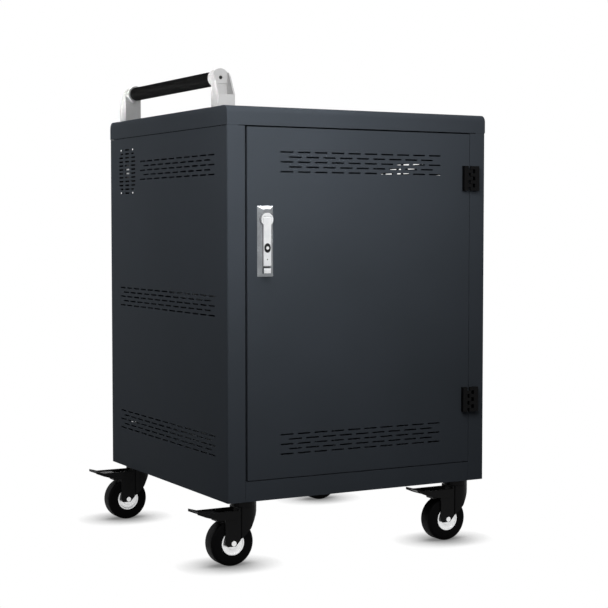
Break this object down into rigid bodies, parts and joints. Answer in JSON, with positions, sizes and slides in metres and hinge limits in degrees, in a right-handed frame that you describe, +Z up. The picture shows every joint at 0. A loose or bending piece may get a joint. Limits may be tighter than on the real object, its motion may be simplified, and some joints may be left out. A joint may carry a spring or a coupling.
{
  "type": "laptop charging cart",
  "caption": "Steel cabinet cart on braked swivel casters that stores and charges laptops, with vented panels, hinged front and rear doors, divider racks, a fan and a push handle.",
  "frame": {"origin": "on the floor, below the middle of the cart's whole outline, brake pedals included", "axes": "+Z up; the front door faces -Y; +X is to the right for a person facing the front door"},
  "size_m": [0.6884, 0.6488, 1.0117],
  "materials": {
    "anthracite_paint": "fine textured powder coat",
    "black_steel": "black coated steel",
    "black_casting": "matt black coated casting",
    "lock_chrome": "satin chrome",
    "zinc": "bright zinc plate",
    "light_grey_plastic": "satin light grey",
    "grip_rubber": "matt black sleeve",
    "tyre_rubber": "matt black tread",
    "black_plastic": "moulded black plastic",
    "rack_plastic": "moulded grey plastic"
  },
  "bodies": {
    "cabinet": {"top_cap": "anthracite_paint", "left_side_panel": "anthracite_paint", "right_side_panel": "anthracite_paint", "front_left_post": "anthracite_paint", "front_right_post": "anthracite_paint", "front_sill": "anthracite_paint", "rear_frame": "anthracite_paint", "base_pan": "anthracite_paint", "lower_shelf": "anthracite_paint", "middle_shelf": "anthracite_paint", "partition_panel": "anthracite_paint", "lower_divider_rack": "rack_plastic", "upper_divider_rack": "rack_plastic", "lower_power_strip": "black_plastic", "upper_power_strip": "black_plastic", "fan_frame": "black_plastic", "mains_inlet": "black_plastic", "upper_hinge_frame_leaf": "black_casting", "upper_hinge_pin": "black_steel", "lower_hinge_frame_leaf": "black_casting", "lower_hinge_pin": "black_steel", "front_handle_bracket": "light_grey_plastic", "rear_handle_bracket": "light_grey_plastic", "handle_bar": "light_grey_plastic", "handle_grip": "grip_rubber", "front_left_caster_head": "black_steel", "front_right_caster_head": "black_steel", "rear_left_caster_head": "black_steel", "rear_right_caster_head": "black_steel"},
    "front_door": {"front_door": "anthracite_paint", "upper_hinge_door_leaf": "black_casting", "lower_hinge_door_leaf": "black_casting", "lock_housing": "lock_chrome"},
    "lock_spindle": {"lock_spindle": "lock_chrome"},
    "lock_lever": {"lock_lever": "lock_chrome"},
    "lock_cylinder": {"lock_cylinder": "zinc"},
    "rear_door": {"rear_door": "anthracite_paint"},
    "rear_lock": {"rear_lock": "lock_chrome"},
    "fan_rotor": {"fan_rotor": "black_plastic"},
    "rocker_switch": {"rocker_switch": "black_plastic"},
    "front_left_fork": {"front_left_caster_fork": "black_steel", "front_left_caster_axle": "zinc"},
    "front_left_wheel": {"front_left_caster_tyre": "tyre_rubber", "front_left_caster_hub": "zinc"},
    "front_left_pedal": {"front_left_caster_pedal": "black_steel"},
    "front_right_fork": {"front_right_caster_fork": "black_steel", "front_right_caster_axle": "zinc"},
    "front_right_wheel": {"front_right_caster_tyre": "tyre_rubber", "front_right_caster_hub": "zinc"},
    "front_right_pedal": {"front_right_caster_pedal": "black_steel"},
    "rear_left_fork": {"rear_left_caster_fork": "black_steel", "rear_left_caster_axle": "zinc"},
    "rear_left_wheel": {"rear_left_caster_tyre": "tyre_rubber", "rear_left_caster_hub": "zinc"},
    "rear_left_pedal": {"rear_left_caster_pedal": "black_steel"},
    "rear_right_fork": {"rear_right_caster_fork": "black_steel", "rear_right_caster_axle": "zinc"},
    "rear_right_wheel": {"rear_right_caster_tyre": "tyre_rubber", "rear_right_caster_hub": "zinc"},
    "rear_right_pedal": {"rear_right_caster_pedal": "black_steel"}
  },
  "joints": [
    {"name": "front_door_hinge", "type": "hinge", "parent": "cabinet", "child": "front_door", "pos_m": [0.30405, -0.31844, 0.532], "axis": [0, 0, 1], "range_deg": [0, 135]},
    {"name": "lock_turn", "type": "hinge", "parent": "front_door", "child": "lock_spindle", "pos_m": [-0.1973, -0.31764, 0.704], "axis": [0, -1, 0], "range_deg": [0, 90]},
    {"name": "lever_lift", "type": "hinge", "parent": "lock_spindle", "child": "lock_lever", "pos_m": [-0.1973, -0.32084, 0.707], "axis": [-1, 0, 0], "range_deg": [0, 30]},
    {"name": "key_turn", "type": "hinge", "parent": "lock_lever", "child": "lock_cylinder", "pos_m": [-0.1973, -0.32324, 0.6467], "axis": [0, -1, 0], "range_deg": [0, 90]},
    {"name": "rear_door_hinge", "type": "hinge", "parent": "cabinet", "child": "rear_door", "pos_m": [0.2907, 0.30866, 0.5555], "axis": [0, 0, -1], "range_deg": [0, 110]},
    {"name": "rear_lock_turn", "type": "hinge", "parent": "rear_door", "child": "rear_lock", "pos_m": [-0.2143, 0.31666, 0.572], "axis": [0, -1, 0], "range_deg": [0, 90]},
    {"name": "fan_spin", "type": "hinge", "parent": "cabinet", "child": "fan_rotor", "pos_m": [-0.2688, 0.21366, 0.8155], "axis": [1, 0, 0], "continuous": true},
    {"name": "power_switch", "type": "hinge", "parent": "cabinet", "child": "rocker_switch", "pos_m": [0.2352, 0.31896, 0.177], "axis": [-1, 0, 0], "range_deg": [0, 22]},
    {"name": "front_left_swivel", "type": "hinge", "parent": "cabinet", "child": "front_left_fork", "pos_m": [-0.2306, -0.27884, 0.118], "axis": [0, 0, 1], "continuous": true},
    {"name": "front_left_roll", "type": "hinge", "parent": "front_left_fork", "child": "front_left_wheel", "pos_m": [-0.2636, -0.27884, 0.0477], "axis": [0, 1, 0], "continuous": true},
    {"name": "front_left_brake", "type": "hinge", "parent": "front_left_fork", "child": "front_left_pedal", "pos_m": [-0.2726, -0.27884, 0.105], "axis": [0, -1, 0], "range_deg": [0, 12]},
    {"name": "front_right_swivel", "type": "hinge", "parent": "cabinet", "child": "front_right_fork", "pos_m": [0.293, -0.27884, 0.118], "axis": [0, 0, 1], "continuous": true},
    {"name": "front_right_roll", "type": "hinge", "parent": "front_right_fork", "child": "front_right_wheel", "pos_m": [0.26, -0.27884, 0.0477], "axis": [0, 1, 0], "continuous": true},
    {"name": "front_right_brake", "type": "hinge", "parent": "front_right_fork", "child": "front_right_pedal", "pos_m": [0.251, -0.27884, 0.105], "axis": [0, -1, 0], "range_deg": [0, 12]},
    {"name": "rear_left_swivel", "type": "hinge", "parent": "cabinet", "child": "rear_left_fork", "pos_m": [-0.2306, 0.28316, 0.118], "axis": [0, 0, 1], "continuous": true},
    {"name": "rear_left_roll", "type": "hinge", "parent": "rear_left_fork", "child": "rear_left_wheel", "pos_m": [-0.2636, 0.28316, 0.0477], "axis": [0, 1, 0], "continuous": true},
    {"name": "rear_left_brake", "type": "hinge", "parent": "rear_left_fork", "child": "rear_left_pedal", "pos_m": [-0.2726, 0.28316, 0.105], "axis": [0, -1, 0], "range_deg": [0, 12]},
    {"name": "rear_right_swivel", "type": "hinge", "parent": "cabinet", "child": "rear_right_fork", "pos_m": [0.293, 0.28316, 0.118], "axis": [0, 0, 1], "continuous": true},
    {"name": "rear_right_roll", "type": "hinge", "parent": "rear_right_fork", "child": "rear_right_wheel", "pos_m": [0.26, 0.28316, 0.0477], "axis": [0, 1, 0], "continuous": true},
    {"name": "rear_right_brake", "type": "hinge", "parent": "rear_right_fork", "child": "rear_right_pedal", "pos_m": [0.251, 0.28316, 0.105], "axis": [0, -1, 0], "range_deg": [0, 12]}
  ]
}
